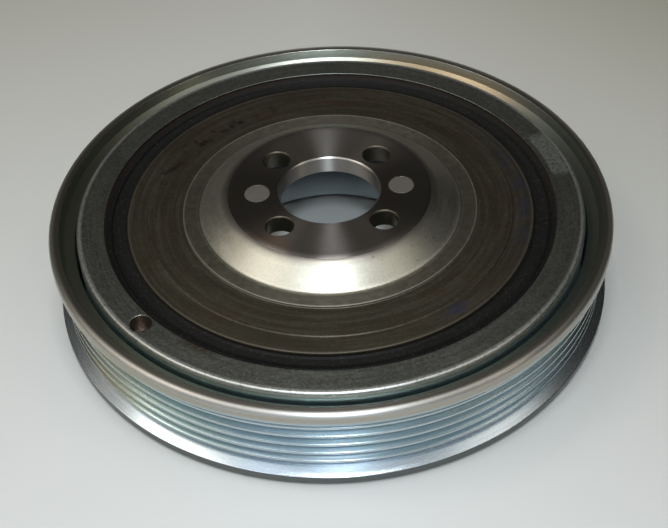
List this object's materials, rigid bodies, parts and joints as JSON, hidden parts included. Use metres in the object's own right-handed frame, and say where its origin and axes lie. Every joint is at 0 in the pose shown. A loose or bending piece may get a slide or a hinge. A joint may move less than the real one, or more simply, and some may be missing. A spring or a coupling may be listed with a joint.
{
  "type": "crankshaft pulley",
  "caption": "Dished crankshaft pulley with a grooved belt rim, a rubber-mounted inertia ring inside it and a bolted conical hub.",
  "frame": {"origin": "centre of the belt rim's back face, which the pulley lies on", "axes": "+Z along the crankshaft's axis, away from the engine; +X through one dowel pin"},
  "size_m": [0.176, 0.176, 0.0348],
  "materials": {
    "raw_steel": "turned, dull",
    "ground_steel": "ground",
    "ring_steel": "drawn",
    "black_rubber": "matt",
    "bush_plastic": "matt",
    "zinc_steel": "dull zinc",
    "rim_steel": "turned, zinc plated"
  },
  "bodies": {
    "root": {"hub": "raw_steel", "dowel_pins": "ground_steel", "coupling_inner_ring": "ring_steel", "coupling_rubber": "black_rubber", "coupling_outer_ring": "ring_steel", "bearing_bush": "bush_plastic", "damper_rubber": "black_rubber", "inertia_ring": "zinc_steel", "pulley_rim": "rim_steel"}
  },
  "joints": []
}
